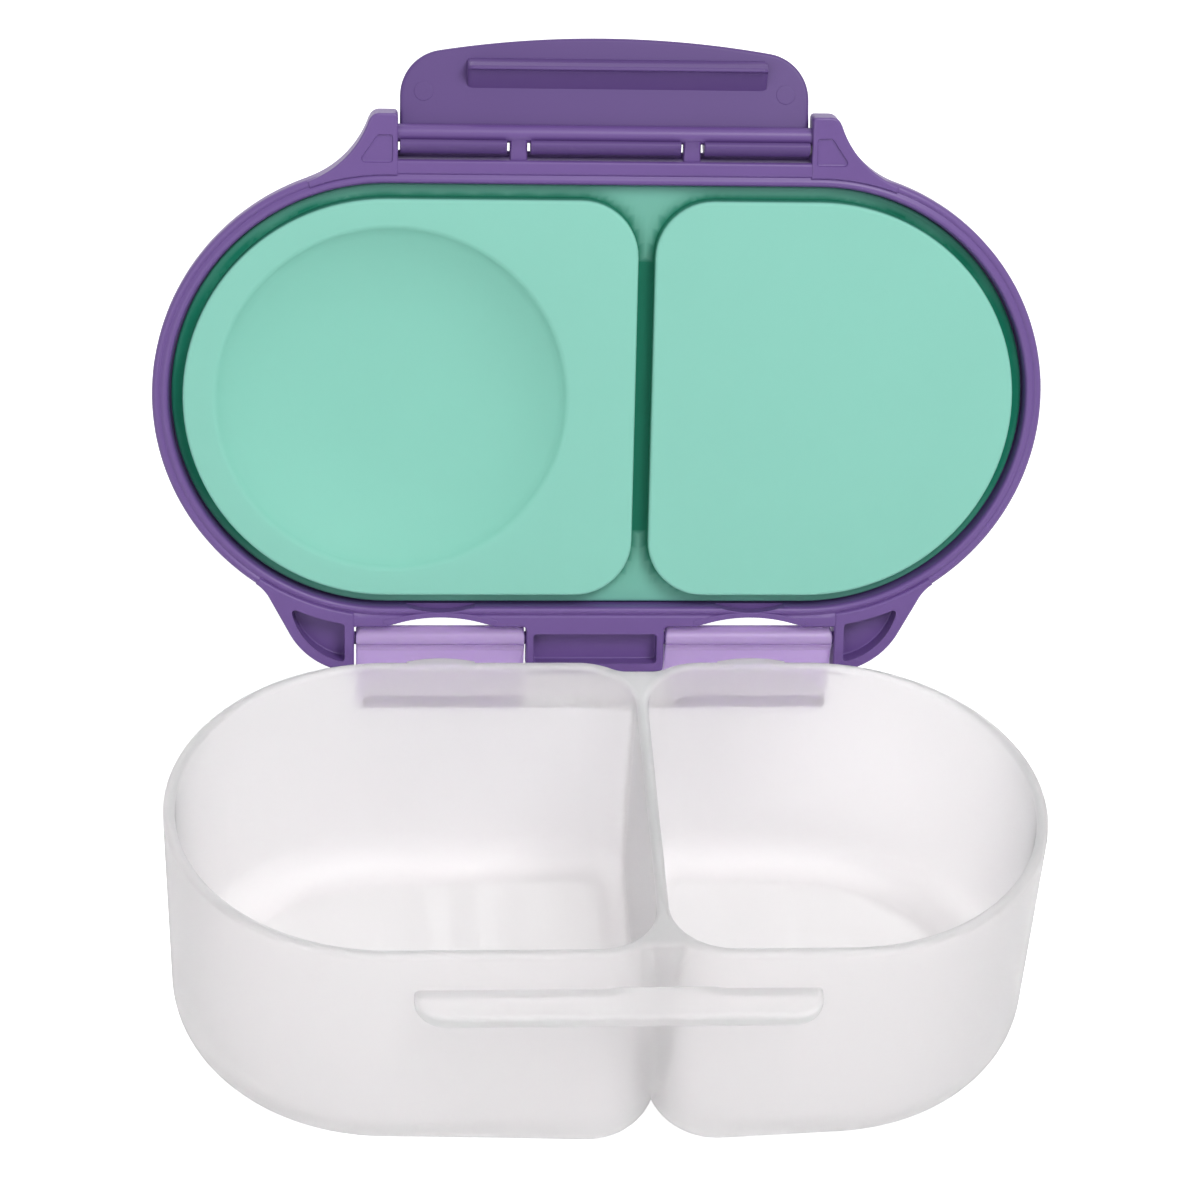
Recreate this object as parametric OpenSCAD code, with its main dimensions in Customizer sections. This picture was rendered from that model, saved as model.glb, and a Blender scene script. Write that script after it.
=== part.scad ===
// Two-compartment snack container with a hinged lid, a soft seal, a front latch
// and two rear hinge clips. Millimetres, +Z up, the front towards -Y. The origin
// is the middle of the tub's underside, on the surface that it stands on.

/* [Tub] */
// Distance of each round end's centre from the middle
end_offset = 44.4; // [36:0.1:56]
// Radius of the round ends at the rim, outside
rim_radius = 45; // [40:0.5:52]
// Height of the rim over the resting surface
rim_height = 56; // [48:0.5:80]
// Wall thickness
tub_wall = 2.4; // [1.6:0.1:3]
// Floor thickness
tub_floor = 2.4; // [1.6:0.1:4]
// How much the wall leans in from rim to floor
wall_lean = 0.4; // [0.1:0.1:2]
// Radius between wall and floor, outside
base_round = 10.5; // [8.5:0.5:11]
// Radius between divider and floor, outside
divider_round = 8; // [6:0.5:8.5]
// Where the divider stands, to the right of the middle
divider_x = 8.9; // [-10:0.1:12]
// Thickness of the divider
divider_wall = 2.4; // [1.6:0.1:4]
// Radius of the compartments' corners beside the divider
corner_round = 12; // [8:0.5:16]
// How far the outside is drawn in at the divider, at the rim
valley_top = 3; // [1:0.5:5]
// How far the outside is drawn in at the divider, at the floor
valley_foot = 7; // [5:0.5:9]

/* [Shelves] */
// How far the two shelves stand out from the wall
shelf_reach = 7.6; // [6:0.1:7.8]
// Thickness of the shelves
shelf_thick = 3.2; // [2:0.1:4]
// How far the shelves' top lies under the rim
shelf_drop = 9; // [8:0.1:12]
// Half width of the front shelf
front_shelf_half = 39.6; // [34:0.1:41]
// Half width of the rear shelf
rear_shelf_half = 49.5; // [40:0.1:50]
// Corner radius of the shelves
shelf_round = 6.5; // [2:0.5:7]
// Width of the arched lugs on the rear rim
lug_width = 14.5; // [8:0.5:20]
// How far these lugs stand out
lug_reach = 1.1; // [0.6:0.1:1.1]
// Height of these lugs
lug_height = 2.6; // [1.5:0.1:4]

/* [Lid] */
// How far the lid is turned back from closed
lid_open_angle = 110.6; // [90:0.1:114]
// How far the lid stands out past the rim
lid_overhang = 3.7; // [3.6:0.1:4.4]
// Thickness of the lid's skirt
skirt_wall = 1.8; // [1.2:0.1:1.8]
// How far the skirt hangs below the rim
skirt_drop = 2.6; // [2:0.1:4]
// Thickness of the lid's top plate
lid_plate = 2.2; // [1.4:0.1:3]
// Rounding of the lid's top edge
lid_round = 3.2; // [1:0.1:3.6]
// Radius of the window that the fruit dish stands in
window_radius = 38.7; // [37.5:0.1:39.5]
// Thickness of the ribs around the pockets in the lid's lugs
lug_wall = 2; // [1.4:0.1:2.5]

/* [Hinge] */
// Distance of the hinge axis behind the rim
hinge_reach = 7.8; // [7.8:0.1:8.2]
// Radius of the rods that the clips turn on
hinge_rod = 1.4; // [1.2:0.05:1.5]
// Width of a hinge clip
clip_width = 35.8; // [28:0.1:36]
// Distance of a hinge clip's middle from the middle of the lid
clip_offset = 33; // [33:0.1:33.2]
// Length of a hinge clip below its axis
clip_length = 18.6; // [16:0.1:24]
// Thickness of a hinge clip's plate
clip_plate = 2.2; // [1.6:0.1:2.4]
// How far the lid's lugs reach past the hinge axis
hinge_lug_reach = 7; // [6:0.1:7]

/* [Latch] */
// Distance of the latch axis in front of the rim
latch_reach = 10.3; // [10:0.1:11]
// Radius of the rod that the latch turns on
latch_rod = 1.85; // [1.5:0.05:1.9]
// How far the latch is turned up from closed
latch_open_angle = 105; // [90:1:108]
// Width of the latch
latch_width = 84; // [70:0.5:90]
// Length of the latch below its axis
latch_length = 19.8; // [18.5:0.1:26]
// Thickness of the latch's plate
latch_plate = 2.3; // [1.8:0.1:2.6]
// Width of the rib that catches the shelf
catch_width = 61.5; // [40:0.5:64]
// How far this rib lies to the right of the middle
catch_shift = 2.5; // [0:0.1:3]
// Height of this rib along the plate
catch_height = 3.4; // [2:0.1:4]
// Width of each post that holds the latch's rod
post_width = 4; // [3:0.1:5]
// Distance of the posts from the middle
post_offset = 17.8; // [14:0.1:22]

/* [Seal] */
// Width of the seal's edge, where it lies on the rim
seal_edge = 2.8; // [2:0.1:3.4]
// Thickness of the seal's skin
seal_skin = 1.4; // [1:0.1:1.8]
// How far the seal's panels stand into the compartments
plug_depth = 3.8; // [2.5:0.1:5]
// Width of the groove over the divider
groove_width = 3.4; // [3.4:0.1:5]
// Radius of the dish over the fruit
dish_radius = 37.1; // [34:0.1:37.2]
// Depth of this dish
dish_depth = 10; // [5:0.5:16]
// How far the dish lies to the left of the middle
dish_offset = 43.5; // [42:0.1:44.5]

/* [Clearances] */
// Radial play of a clip on its rod
rod_play = 0.08; // [0.04:0.01:0.1]
// Gap between pieces that only lie against each other
rest_gap = 0.3; // [0.2:0.05:0.4]
// Gap between a hook and the shelf above it
catch_gap = 0.5; // [0.5:0.05:0.8]
// Gap beside a piece that turns between two others
side_gap = 0.4; // [0.3:0.05:0.7]
// Gap between the seal's panels and the compartments
plug_gap = 0.6; // [0.5:0.05:1]

/* [Hidden] */
eps = 0.01;
past = 1;

// Tub
inner_radius = rim_radius - tub_wall;
floor_round = base_round - tub_floor;
shelf_top = rim_height - shelf_drop;
shelf_bottom = shelf_top - shelf_thick;
shelf_edge = rim_radius + shelf_reach;
left_edge = divider_x - divider_wall / 2;
right_edge = divider_x + divider_wall / 2;
valley_angle = atan((valley_foot - valley_top) / rim_height);
valley_width = 2 * corner_round;
web_depth = 12;
web_height = rim_height * 1.05;
lug_root = 0.5;
end_steps = 72;
corner_steps = 32;
// Each compartment's own outside reaches this far into the divider, so that the
// two still join at the foot, where both lean away
divider_share = divider_wall + wall_lean / 2;

// Axes
hinge_y = rim_radius + hinge_reach;
hinge_z = rim_height;
latch_y = -rim_radius - latch_reach;
latch_z = rim_height;

// Lid
lid_radius = rim_radius + lid_overhang;
skirt_inner = lid_radius - skirt_wall;
skirt_bottom = rim_height - skirt_drop;
edge_bottom = rim_height + rest_gap;
seat_gap = 0.1;
plate_bottom = edge_bottom + seal_skin + seat_gap;
lid_top = plate_bottom + lid_plate;
lug_step = 0.4;
lug_top = lid_top - lug_step;
lug_thick = lug_top - skirt_bottom;
lug_end = hinge_y + hinge_lug_reach;
ear_round = 16.3;
ear_inner = clip_offset + clip_width / 2 + side_gap;
ear_shift = 0.7;
ear_centre = [ear_inner - ear_shift, lug_end - ear_round];
ear_slope = 28;
ear_slope_length = 11.5;
ear_root = 10;
ear_slope_inset = 0.05;
block_half = clip_offset - clip_width / 2 - side_gap;
block_wall = 1.5;
block_pocket = [2 * (block_half - block_wall), 6.6, 3.6];
block_pocket_start = 1.6;
ear_pocket_start = 0.5;
knuckle_wall = 1.3;
knuckle = hinge_rod + knuckle_wall;
window_edge = hinge_y - knuckle - side_gap;
relief_half = 11.2;
relief_depth = 1.8;
relief_radius = (relief_half * relief_half + relief_depth * relief_depth) / (2 * relief_depth);
pocket_top = lug_top - lug_wall;

// Lugs at the front of the lid
ring_wall = 1.65;
latch_ring = latch_rod + ring_wall;
ring_step = 0.2;
ring_rise = 0.7;
ring_inset = 0.3;
front_bulge = 1.1;
front_edge = lid_radius + front_bulge;
front_ear_inner = latch_width / 2 + side_gap;
front_ear_width = 6;
front_ear_past = 4.4;
front_ear_end = latch_y - front_ear_past;
front_ear_corner = 2.2;
flare_radius = 20.7;
flare_angle = 19.4;
flare_rise = 1.6;
flare_start = [front_ear_inner + front_ear_width - eps, front_ear_end + flare_rise];
flare_overlap = 4;
flare_centre = flare_start + flare_radius * [cos(flare_angle), -sin(flare_angle)];
flare_width = 14.4;
post_height = 3;

// Seal
panel_bottom = rim_height - plug_depth;
seal_wall = 1.6;
plug_round = 0.6;
dish_overlap = 0.2;

// Latch
end_rise = 4.2;
end_corner = 9.5;

// Hooks
catch_drop = latch_z - shelf_bottom + catch_gap;
latch_outer_face = latch_ring - ring_step;
latch_inner_face = latch_outer_face - latch_plate;
latch_mouth = 3;
mouth_inset = 0.3;
clip_face = shelf_edge + side_gap - hinge_y;
clip_drop = hinge_z - shelf_bottom + catch_gap;
clip_hook = 1.4;
clip_hook_height = 2.6;
clip_mouth = 0.8;
clip_mouth_bottom = -0.1;
clip_front = -1.9;
clip_front_drop = 8.3;
catch_overlap = 0.8;
catch_reach = latch_inner_face - latch_y - shelf_edge + catch_overlap;
catch_slope = [1.2, 1.6];
catch_edge = 0.6;
catch_tip = 1.2;
catch_gusset = 3.4;

// Points of an arc about a centre, from one angle to another
function arc(centre, radius, from, to, steps) =
    [for (i = [0 : steps])
        let (a = from + (to - from) * i / steps)
            [centre[0] + radius * cos(a), centre[1] + radius * sin(a)]];

// Half of a round disc, on the side given, whose wall leans in by lean towards
// its foot and whose lower edge is rounded
module half_puck(side, radius, bottom, top, round_r, lean, fn) {
    foot = radius - lean;
    rotate([0, 0, side * -90]) rotate_extrude(angle = 180, $fn = fn)
        polygon(concat([[0, top], [0, bottom]],
                       arc([foot - round_r, bottom + round_r], round_r, -90, 0, 6),
                       [[radius, top]]));
}

// One compartment: a round end on the side given, a flat face at face_x, and its
// lower edge rounded by end_r and, beside the flat face, by face_r
module compartment(side, face_x, radius, corner, bottom, top, end_r, face_r, lean) {
    hull() {
        translate([side * end_offset, 0, 0])
            half_puck(side, radius, bottom, top, end_r, lean, end_steps);
        for (y = [-1, 1])
            translate([face_x + side * corner, y * (radius - corner), 0])
                half_puck(-side, corner, bottom, top, min(face_r, corner - lean - eps), lean,
                          corner_steps);
    }
}

// A prism with the plan of a stadium
module stadium(radius, bottom, top) {
    translate([-end_offset, -radius, bottom]) cube([2 * end_offset, 2 * radius, top - bottom]);
    for (x = [-end_offset, end_offset])
        translate([x, 0, bottom]) cylinder(r = radius, h = top - bottom, $fn = 96);
}

// A shelf on one side of the tub, with two round corners
module shelf(half_width, side) {
    root = inner_radius - corner_round / 3;
    corner_x = half_width - shelf_round;
    corner_y = shelf_edge - shelf_round;
    mirror([0, side > 0 ? 0 : 1, 0]) translate([0, 0, shelf_bottom]) linear_extrude(shelf_thick) {
        translate([-half_width, root]) square([2 * half_width, corner_y - root]);
        translate([-corner_x, root]) square([2 * corner_x, shelf_edge - root]);
        for (x = [-corner_x, corner_x])
            translate([x, corner_y]) circle(r = shelf_round, $fn = 48);
    }
}

// The web that closes the valley between the two compartments
module valley_web(side) {
    mirror([0, side > 0 ? 0 : 1, 0])
        translate([divider_x - valley_width / 2, rim_radius - valley_top, rim_height])
            rotate([-valley_angle, 0, 0])
                translate([0, -web_depth, -web_height])
                    cube([valley_width, web_depth, web_height]);
}

// An arched lug on the rear rim
module rear_lug(x) {
    lug_round = (lug_width * lug_width / 4 + lug_reach * lug_reach) / (2 * lug_reach);
    translate([x, 0, rim_height - lug_height]) intersection() {
        translate([0, rim_radius + lug_reach - lug_round, 0])
            cylinder(r = lug_round, h = lug_height, $fn = 96);
        translate([-lug_width / 2, inner_radius + lug_root, 0])
            cube([lug_width, rim_radius, lug_height]);
    }
}

module tub() {
    color([0.93, 0.92, 0.93, 0.75])
    difference() {
        union() {
            compartment(-1, left_edge + divider_share, rim_radius, corner_round + divider_share,
                        0, rim_height, base_round, divider_round, wall_lean);
            compartment(1, right_edge - divider_share, rim_radius, corner_round + divider_share,
                        0, rim_height, base_round, divider_round, wall_lean);
            intersection() {
                union() {
                    valley_web(1);
                    valley_web(-1);
                }
                translate([divider_x - valley_width, -rim_radius, base_round])
                    cube([2 * valley_width, 2 * rim_radius, rim_height - base_round]);
            }
            shelf(front_shelf_half, -1);
            shelf(rear_shelf_half, 1);
            for (x = [-clip_offset, clip_offset]) rear_lug(x);
        }
        compartment(-1, left_edge, inner_radius, corner_round,
                    tub_floor, rim_height + past, floor_round, floor_round, wall_lean);
        compartment(1, right_edge, inner_radius, corner_round,
                    tub_floor, rim_height + past, floor_round, floor_round, wall_lean);
    }
}

// Turns a piece of the lid from closed to its open place
module lid_turned() {
    translate([0, hinge_y, hinge_z]) rotate([-lid_open_angle, 0, 0])
        translate([0, -hinge_y, -hinge_z]) children();
}

// The lid's outer form, its top edge rounded
module lid_body() {
    hull() for (x = [-end_offset, end_offset])
        translate([x, 0, 0]) rotate_extrude($fn = 96)
            polygon(concat([[0, skirt_bottom], [lid_radius, skirt_bottom]],
                           arc([lid_radius - lid_round, lid_top - lid_round], lid_round, 0, 90, 5),
                           [[0, lid_top]]));
}

// Plan of one rear lug, a round end cut off at the hinge clip, with a straight
// slope from the round to the lid's edge
module rear_ear(inset) {
    radius = ear_round - inset;
    intersection() {
        union() {
            translate(ear_centre) circle(r = radius, $fn = 96);
            translate(ear_centre) rotate([0, 0, ear_slope])
                translate([0, -ear_slope_length])
                    square([radius - ear_slope_inset, ear_slope_length]);
        }
        translate([ear_inner + inset, lid_radius - ear_root])
            square([ear_round + ear_root, ear_round + ear_root]);
    }
}

// The two rear lugs, the block between the clips and the strip that joins them
module rear_lugs() {
    for (m = [0, 1]) mirror([m, 0, 0]) difference() {
        translate([0, 0, skirt_bottom]) linear_extrude(lug_thick) rear_ear(0);
        translate([0, 0, skirt_bottom - past])
            linear_extrude(pocket_top - skirt_bottom + past)
                intersection() {
                    rear_ear(lug_wall);
                    translate([ear_inner, lid_radius - ear_pocket_start])
                        square([ear_round, ear_round]);
                }
    }
    difference() {
        translate([-block_half, skirt_inner, skirt_bottom])
            cube([2 * block_half, lug_end - skirt_inner, lug_thick]);
        translate([-block_pocket[0] / 2, hinge_y - block_pocket_start, skirt_bottom - past])
            cube(block_pocket + [0, 0, past]);
    }
    translate([-ear_inner - past, skirt_inner - past, skirt_bottom])
        cube([2 * (ear_inner + past), window_edge - skirt_inner + past, lug_thick]);
}

// Plan of one front lug beside the latch, with a hollow flare to the lid's edge
module front_ear() {
    tip = [front_ear_inner, front_ear_end];
    translate(tip) square([front_ear_width - front_ear_corner, 2 * front_ear_corner]);
    translate(tip + [0, front_ear_corner]) square([front_ear_width, front_ear_corner]);
    translate(tip + [front_ear_width - front_ear_corner, front_ear_corner])
        circle(r = front_ear_corner, $fn = 48);
    difference() {
        translate([front_ear_inner, flare_start[1]])
            square([front_ear_width + flare_width, -skirt_inner - flare_start[1] + flare_overlap]);
        translate(flare_centre) circle(r = flare_radius, $fn = 128);
    }
}

// The two front lugs, the bar between them and the posts of the latch's rod
module front_lugs() {
    for (m = [0, 1]) mirror([m, 0, 0])
        translate([0, 0, skirt_bottom]) linear_extrude(lug_thick) front_ear();
    translate([-front_ear_inner - past, -front_edge, skirt_bottom])
        cube([2 * (front_ear_inner + past), front_edge - skirt_inner + past, lug_thick]);
    for (x = [-post_offset, post_offset])
        translate([x - post_width / 2, latch_y, latch_z - post_height / 2])
            cube([post_width, -front_edge - latch_y + past, post_height]);
}

// A hollow that leaves the strip thin in front of a hinge clip
module relief(x) {
    translate([x, window_edge, skirt_bottom - past]) intersection() {
        translate([0, relief_radius - relief_depth, 0])
            cylinder(r = relief_radius, h = lid_top, $fn = 128);
        translate([-relief_half, -relief_depth - past, 0])
            cube([2 * relief_half, relief_depth + 2 * past, lid_top]);
    }
}

module lid_frame() {
    color("#6f5795")
    lid_turned() {
        difference() {
            union() {
                lid_body();
                rear_lugs();
                front_lugs();
            }
            stadium(skirt_inner, skirt_bottom - past, plate_bottom);
            translate([-dish_offset, 0, skirt_bottom - past])
                cylinder(r = window_radius, h = lid_top, $fn = 128);
            for (x = [-clip_offset, clip_offset]) relief(x);
        }
        // Rods that the hinge clips turn on
        for (m = [0, 1]) mirror([m, 0, 0])
            translate([block_half - past, hinge_y, hinge_z]) rotate([0, 90, 0])
                cylinder(r = hinge_rod, h = ear_inner - block_half + 2 * past, $fn = 48);
        // Rod that the latch turns on
        translate([-front_ear_inner - past, latch_y, latch_z]) rotate([0, 90, 0])
            cylinder(r = latch_rod, h = 2 * (front_ear_inner + past), $fn = 48);
    }
}

// One panel of the seal, shrunk by inset
module plug(side, face_x, inset, bottom, top) {
    compartment(side, face_x + side * inset, inner_radius - plug_gap - inset,
                corner_round - inset, bottom, top, plug_round, plug_round, 0);
}

// The dish: a skin of even thickness along a part of a sphere
module dish() {
    bulge = (dish_radius * dish_radius + dish_depth * dish_depth) / (2 * dish_depth);
    half_angle = asin(dish_radius / bulge);
    centre = [0, panel_bottom + dish_depth - bulge];
    steps = 14;
    lower = arc(centre, bulge, 90 - half_angle, 90, steps);
    upper = arc(centre + [0, seal_skin], bulge, 90, 90 - half_angle, steps);
    translate([-dish_offset, 0, 0]) rotate_extrude($fn = 96) polygon(concat(lower, upper));
}

module seal() {
    left_face = divider_x - groove_width / 2;
    right_face = divider_x + groove_width / 2;
    seal_radius = inner_radius - plug_gap + seal_edge;
    color("#8fd1c1")
    lid_turned() {
        difference() {
            union() {
                stadium(seal_radius, edge_bottom, edge_bottom + seal_skin);
                for (p = [[-1, left_face], [1, right_face]])
                    plug(p[0], p[1], 0, panel_bottom, edge_bottom + eps);
            }
            // The panels are hollow from above
            for (p = [[-1, left_face], [1, right_face]])
                plug(p[0], p[1], seal_wall, panel_bottom + seal_skin, plate_bottom + past);
            translate([-dish_offset, 0, panel_bottom - past])
                cylinder(r = dish_radius - dish_overlap, h = lid_top - panel_bottom, $fn = 96);
        }
        dish();
    }
}

// Section across one knuckle of the latch: a hook over the rod, its mouth
// towards the tub and down
module latch_ring_section() {
    difference() {
        union() {
            circle(r = latch_ring, $fn = 64);
            translate([0, ring_rise]) circle(r = latch_ring, $fn = 64);
            translate([-latch_ring + ring_inset, 0])
                square([2 * (latch_ring - ring_inset), ring_rise]);
        }
        circle(r = latch_rod + rod_play, $fn = 64);
        translate([-latch_inner_face - mouth_inset, latch_mouth / 2 - 2 * latch_ring])
            square([2 * latch_ring, 2 * latch_ring]);
    }
}

// Outline of the latch's plate: square at the axis, its end a flat arch that
// runs smoothly into two round corners
module latch_outline() {
    half = latch_width / 2;
    bow = (half * half + end_rise * end_rise) / (2 * end_rise);
    bow_v = bow - latch_length;
    corner_x = half - end_corner;
    corner_v = bow_v - sqrt(pow(bow - end_corner, 2) - corner_x * corner_x);
    bow_half = atan(corner_x / (bow_v - corner_v));
    bow_step = bow_half / 12;
    polygon(concat([[-half, 0]],
                   arc([-corner_x, corner_v], end_corner, 180, 270 - bow_half, 9),
                   arc([0, bow_v], bow, 270 - bow_half + bow_step, 270 + bow_half - bow_step, 22),
                   arc([corner_x, corner_v], end_corner, 270 + bow_half, 360, 9),
                   [[half, 0]]));
}

module latch() {
    half = latch_width / 2;
    near = post_offset - post_width / 2 - side_gap;
    far = post_offset + post_width / 2 + side_gap;
    segments = [[-half, -far], [-near, near], [far, half]];
    color("#7b62a5")
    lid_turned() translate([0, latch_y, latch_z]) rotate([-latch_open_angle, 0, 0]) {
        for (s = segments)
            translate([s[0], 0, 0]) rotate([90, 0, 90]) linear_extrude(s[1] - s[0])
                latch_ring_section();
        difference() {
            translate([0, -latch_outer_face, 0]) rotate([90, 0, 0])
                translate([0, 0, -latch_plate]) linear_extrude(latch_plate) latch_outline();
            translate([-half - past, 0, 0]) rotate([0, 90, 0])
                cylinder(r = latch_rod + rod_play, h = latch_width + 2 * past, $fn = 64);
        }
        translate([catch_shift - catch_width / 2, -latch_inner_face - eps,
                   -catch_drop - catch_height])
            rotate([90, 0, 90]) linear_extrude(catch_width)
                polygon([[0, 0],
                         [catch_reach - catch_slope[0], catch_height - catch_slope[1]],
                         [catch_reach, catch_height - catch_edge],
                         [catch_reach, catch_height],
                         [catch_reach - catch_tip, catch_height],
                         [0, catch_height + catch_gusset]]);
    }
}

// A hinge clip around the point x, hanging from the rods behind the tub
module hinge_clip(x) {
    color("#b89fe0")
    translate([x - clip_width / 2, hinge_y, hinge_z]) rotate([90, 0, 90])
        linear_extrude(clip_width) difference() {
            union() {
                circle(r = knuckle, $fn = 64);
                translate([clip_face, -clip_length]) square([clip_plate, clip_length]);
                // Thick upper part, which ends above the rear shelf
                translate([clip_front, -clip_front_drop])
                    square([clip_face + clip_plate / 2 - clip_front, clip_front_drop]);
                // Hook under the rear shelf
                translate([clip_face - clip_hook, -clip_drop - clip_hook_height])
                    square([clip_hook + clip_plate / 2, clip_hook_height]);
            }
            circle(r = hinge_rod + rod_play, $fn = 64);
            translate([-knuckle - past, clip_mouth_bottom]) square([knuckle + past, clip_mouth]);
        }
}

module hinge_clip_left() hinge_clip(-clip_offset);

module hinge_clip_right() hinge_clip(clip_offset);

tub();
lid_frame();
seal();
latch();
hinge_clip_left();
hinge_clip_right();
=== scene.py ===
"""Snack container with two compartments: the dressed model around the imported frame."""

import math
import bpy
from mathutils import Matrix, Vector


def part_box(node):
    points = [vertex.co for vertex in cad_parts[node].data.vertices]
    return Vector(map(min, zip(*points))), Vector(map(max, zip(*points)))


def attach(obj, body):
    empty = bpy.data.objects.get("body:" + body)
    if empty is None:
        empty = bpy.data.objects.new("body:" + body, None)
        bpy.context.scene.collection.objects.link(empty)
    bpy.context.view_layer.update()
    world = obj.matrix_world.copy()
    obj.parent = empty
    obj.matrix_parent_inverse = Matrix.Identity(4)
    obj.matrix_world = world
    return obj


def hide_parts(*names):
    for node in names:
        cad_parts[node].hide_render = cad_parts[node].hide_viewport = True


bl_info = {
    "name": "Snack container",
    "version": (1, 0, 0),
    "blender": (4, 5, 0),
    "location": "3D View > Sidebar > Snack container",
    "description": "Builds a two-compartment snack container with a lid, seal, latch and clips",
    "category": "Add Mesh",
}

from types import SimpleNamespace

import bmesh
import bpy
import numpy as np
from bpy.props import FloatProperty, PointerProperty, StringProperty
from mathutils import Matrix, Vector
from mathutils.geometry import delaunay_2d_cdt

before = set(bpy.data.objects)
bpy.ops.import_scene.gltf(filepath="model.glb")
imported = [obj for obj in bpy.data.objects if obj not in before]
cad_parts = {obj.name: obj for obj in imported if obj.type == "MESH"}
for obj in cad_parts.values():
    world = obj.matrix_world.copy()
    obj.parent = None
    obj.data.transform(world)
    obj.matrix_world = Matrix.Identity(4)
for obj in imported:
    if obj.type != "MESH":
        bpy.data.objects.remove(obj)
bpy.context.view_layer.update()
TUB_LOW, TUB_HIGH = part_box("tub")

SMOOTH_ANGLE = math.radians(32)  # a sharper edge is shaded as one
DISH_STEPS = 96  # points of each circle around the dish


# ---- sizes and colours


def length(name, description, default):
    """A size in metres that a user may change."""
    return FloatProperty(name=name, description=description, default=default, min=0, unit="LENGTH",
                         precision=5)


def colour(name, description, default):
    """An sRGB colour, written as hex."""
    return StringProperty(name=name, description=description, default=default, maxlen=7)


class SnackTubSizes(bpy.types.PropertyGroup):
    end_offset: length("End offset", "Distance of each round end's centre from the middle", 0.0444)
    rim_radius: length("Rim radius", "Radius of the round ends at the rim, outside", 0.045)
    rim_height: length("Rim height", "Height of the rim over the floor", TUB_HIGH.z)
    wall: length("Wall", "Thickness of the tub's wall", 0.0024)
    wall_lean: length("Wall lean", "How much the wall leans in towards the floor", 0.0004)
    base_round: length("Base round", "Radius between wall and floor, outside", 0.0105)
    divider_round: length("Divider round", "Radius between divider and floor, outside", 0.008)
    divider_x: length("Divider", "Where the divider stands, right of the middle", 0.0089)
    corner: length("Corner", "Radius of the compartments' corners beside the divider", 0.012)
    valley_top: length("Valley at rim", "How far the outside is drawn in at the rim", 0.003)
    valley_foot: length("Valley at foot", "How far the outside is drawn in at the floor", 0.007)
    valley_fillet: length("Valley fillet", "Radius of the hollow beside the valley", 0.006)
    rim_round: length("Rim round", "Rounding of the rim's edges", 0.00115)
    shelf_top: length("Shelf top", "Height of the shelves' upper side", 0.047)
    shelf_thick: length("Shelf thickness", "Thickness of the shelves", 0.0032)
    shelf_round: length("Shelf corner", "Corner radius of the shelves", 0.0065)
    shelf_edge: length("Shelf edge", "Distance of the shelves' edge from the middle",
                       max(TUB_HIGH.y, -TUB_LOW.y))
    front_shelf: length("Front shelf", "Half width of the front shelf", 0.0396)
    rear_shelf: length("Rear shelf", "Half width of the rear shelf", 0.0495)
    lug_offset: length("Rim lug offset", "Distance of the rear rim's lugs from the middle", 0.033)
    lug_width: length("Rim lug width", "Width of the rear rim's lugs", 0.0145)
    lug_reach: length("Rim lug reach", "How far these lugs stand out", 0.0011)


class SnackLidSizes(bpy.types.PropertyGroup):
    radius: length("Lid radius", "Radius of the lid's round ends", 0.0487)
    edge_round: length("Edge round", "Rounding of the lid's upper edge", 0.0032)
    top: length("Lid top", "Height of the lid's top, closed", 0.060)
    plate: length("Top plate", "Thickness of the lid's top plate", 0.0022)
    skirt_bottom: length("Skirt", "Height of the skirt's lower edge, closed", 0.0534)
    window: length("Window", "Radius of the window behind the dish", 0.0387)
    bead_inside: length("Bead", "Radius of the inner side of the lid's bead", 0.04515)
    valley: length("Valley", "Radius of the hollow line beside the bead", 0.0471)
    lug_end: length("Lug end", "Distance of the rear lugs' end from the middle", 0.0598)
    lug_inside: length("Lug side", "Distance of the rear lugs' inner sides from the middle", 0.0513)
    block_half: length("Block", "Half width of the block between the clips", 0.0147)
    front_lug: length("Front lug", "Distance of the front lugs' sides from the middle", 0.0424)
    post_offset: length("Posts", "Distance of the latch rod's posts from the middle", 0.0178)
    post_width: length("Post width", "Width of each of these posts", 0.0036)
    latch_rod: length("Latch rod", "Radius of the rod that the latch turns on", 0.00185)
    hinge_rod: length("Hinge rod", "Radius of the rods that the clips turn on", 0.0014)
    seal_radius: length("Seal radius", "Radius of the seal's edge", 0.0448)
    panel_radius: length("Panel radius", "Radius of the seal's panels", 0.0423)
    panel_bottom: length("Panel face", "Height of the panels' faces, closed", 0.0522)
    panel_round: length("Panel round", "Rounding of the panels' edges", 0.0008)
    groove: length("Groove", "Width of the groove over the divider", 0.0034)
    dish_radius: length("Dish radius", "Radius of the round dish", 0.0371)
    dish_depth: length("Dish depth", "Depth of the round dish", 0.010)
    dish_offset: length("Dish offset", "Distance of the dish left of the middle", 0.0435)
    latch_width: length("Latch width", "Width of the latch", 0.084)
    latch_length: length("Latch length", "Length of the latch past its axis", 0.0198)
    latch_plate: length("Latch plate", "Thickness of the latch's plate", 0.0023)
    clip_width: length("Clip width", "Width of a hinge clip", 0.0358)
    clip_length: length("Clip length", "Length of a hinge clip below its axis", 0.0186)


class SnackColours(bpy.types.PropertyGroup):
    tub: colour("Tub", "Natural, uncoloured polypropylene", "#fffcfd")
    lid: colour("Lid", "Purple polypropylene of the lid", "#6f5295")
    # Painted shade: the lid's purple made darker, for the latch is the same plastic
    latch: colour("Latch", "Purple polypropylene of the latch", "#634a86")
    clip: colour("Hinge clips", "Lilac polypropylene of the clips", "#e2c6ff")
    seal: colour("Seal", "Mint silicone", "#92d6c5")
    # Painted shade: the dark green that the seal turns to in its grooves, not a colour of the
    # silicone
    seal_painted_shade: colour("Seal, in the grooves", "The same silicone where it lies deep", "#0b7d62")
    floor: colour("Floor", "The pale floor", "#ffffff")


def names_in(group):
    """The names of a property group's own properties."""
    return [name for name in group.bl_rna.properties.keys() if name not in ("rna_type", "name")]


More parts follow.
